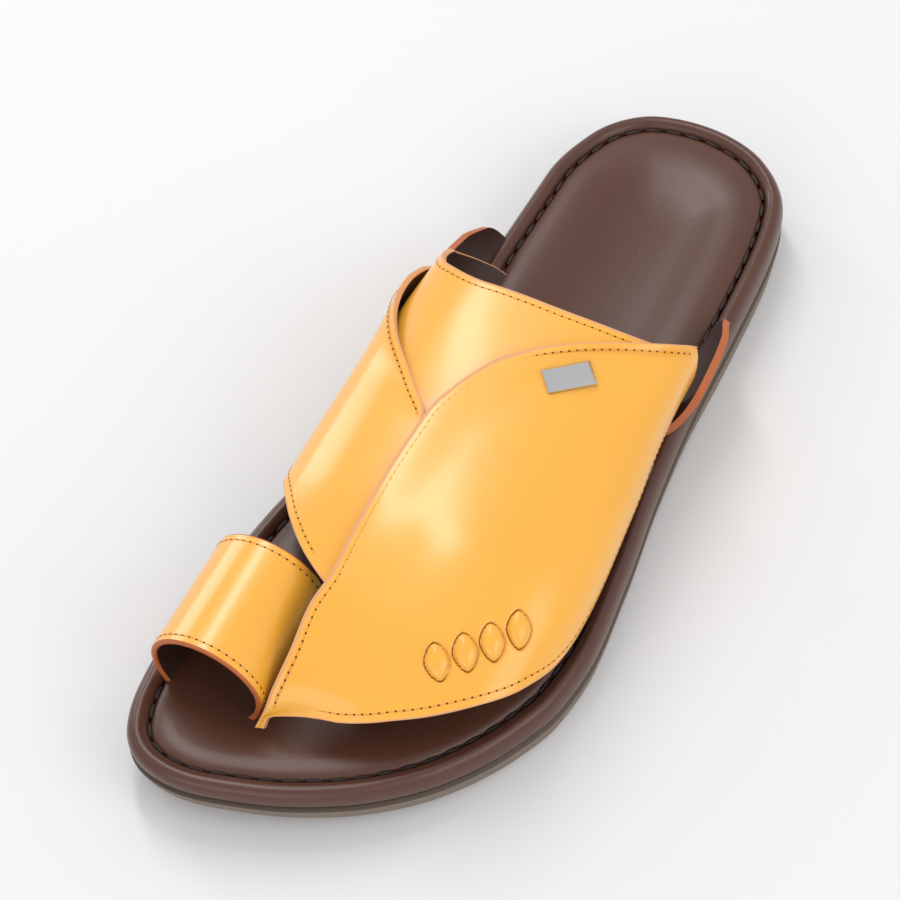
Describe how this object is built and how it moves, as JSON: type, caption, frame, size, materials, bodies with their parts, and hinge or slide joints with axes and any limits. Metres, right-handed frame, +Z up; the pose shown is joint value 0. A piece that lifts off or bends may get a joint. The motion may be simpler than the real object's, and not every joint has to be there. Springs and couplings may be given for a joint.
{
  "type": "slipper",
  "caption": "Left leather slide with a toe loop: yellow leaf straps over a dark brown padded footbed, rolled rim and rubber outsole.",
  "frame": {"origin": "bottom centre of the bounding box, on the floor under the sole", "axes": "+Z up, toe toward -Y, heel toward +Y, big-toe side toward -X, outer side toward +X"},
  "size_m": [0.1083, 0.278, 0.0562],
  "materials": {
    "outsole_rubber": "matte grey-brown rubber",
    "brown_leather": "satin dark brown leather",
    "footbed_leather": "satin dark brown lining leather, padded",
    "strap_leather": "glossy smooth yellow leather with brown lining",
    "bright_metal": "bright plated metal"
  },
  "bodies": {
    "root": {"outsole": "outsole_rubber", "midsole": "brown_leather", "footbed": "footbed_leather", "upper": "strap_leather", "toe_loop": "strap_leather", "tab_lateral": "strap_leather", "tab_medial": "strap_leather", "rivet_lateral": "bright_metal", "rivet_medial": "bright_metal", "badge_plate": "bright_metal"}
  },
  "joints": []
}
